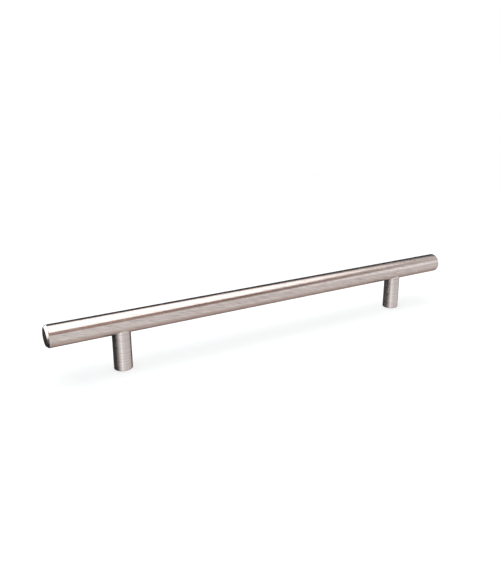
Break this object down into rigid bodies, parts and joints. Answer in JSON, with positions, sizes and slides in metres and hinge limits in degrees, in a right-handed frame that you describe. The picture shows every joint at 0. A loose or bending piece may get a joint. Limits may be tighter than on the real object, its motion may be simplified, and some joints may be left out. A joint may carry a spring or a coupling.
{
  "type": "cabinet pull",
  "caption": "Straight round bar pull in brushed nickel steel, carried on two round posts with tapped feet and overhanging them at both ends.",
  "frame": {"origin": "midway between the two posts, on the mounting plane that the feet stand on", "axes": "+X along the bar, +Z away from the door, +Y across the bar"},
  "size_m": [0.27, 0.012, 0.032],
  "materials": {
    "brushed_bar": "brushed nickel, with fine lines and a broad sheen along the bar",
    "turned_post": "brushed nickel, with fine turning lines round the post",
    "stud_steel": "plain dark steel"
  },
  "bodies": {
    "root": {"bar": "brushed_bar", "post_left": "turned_post", "post_right": "turned_post", "joining_studs": "stud_steel"}
  },
  "joints": []
}
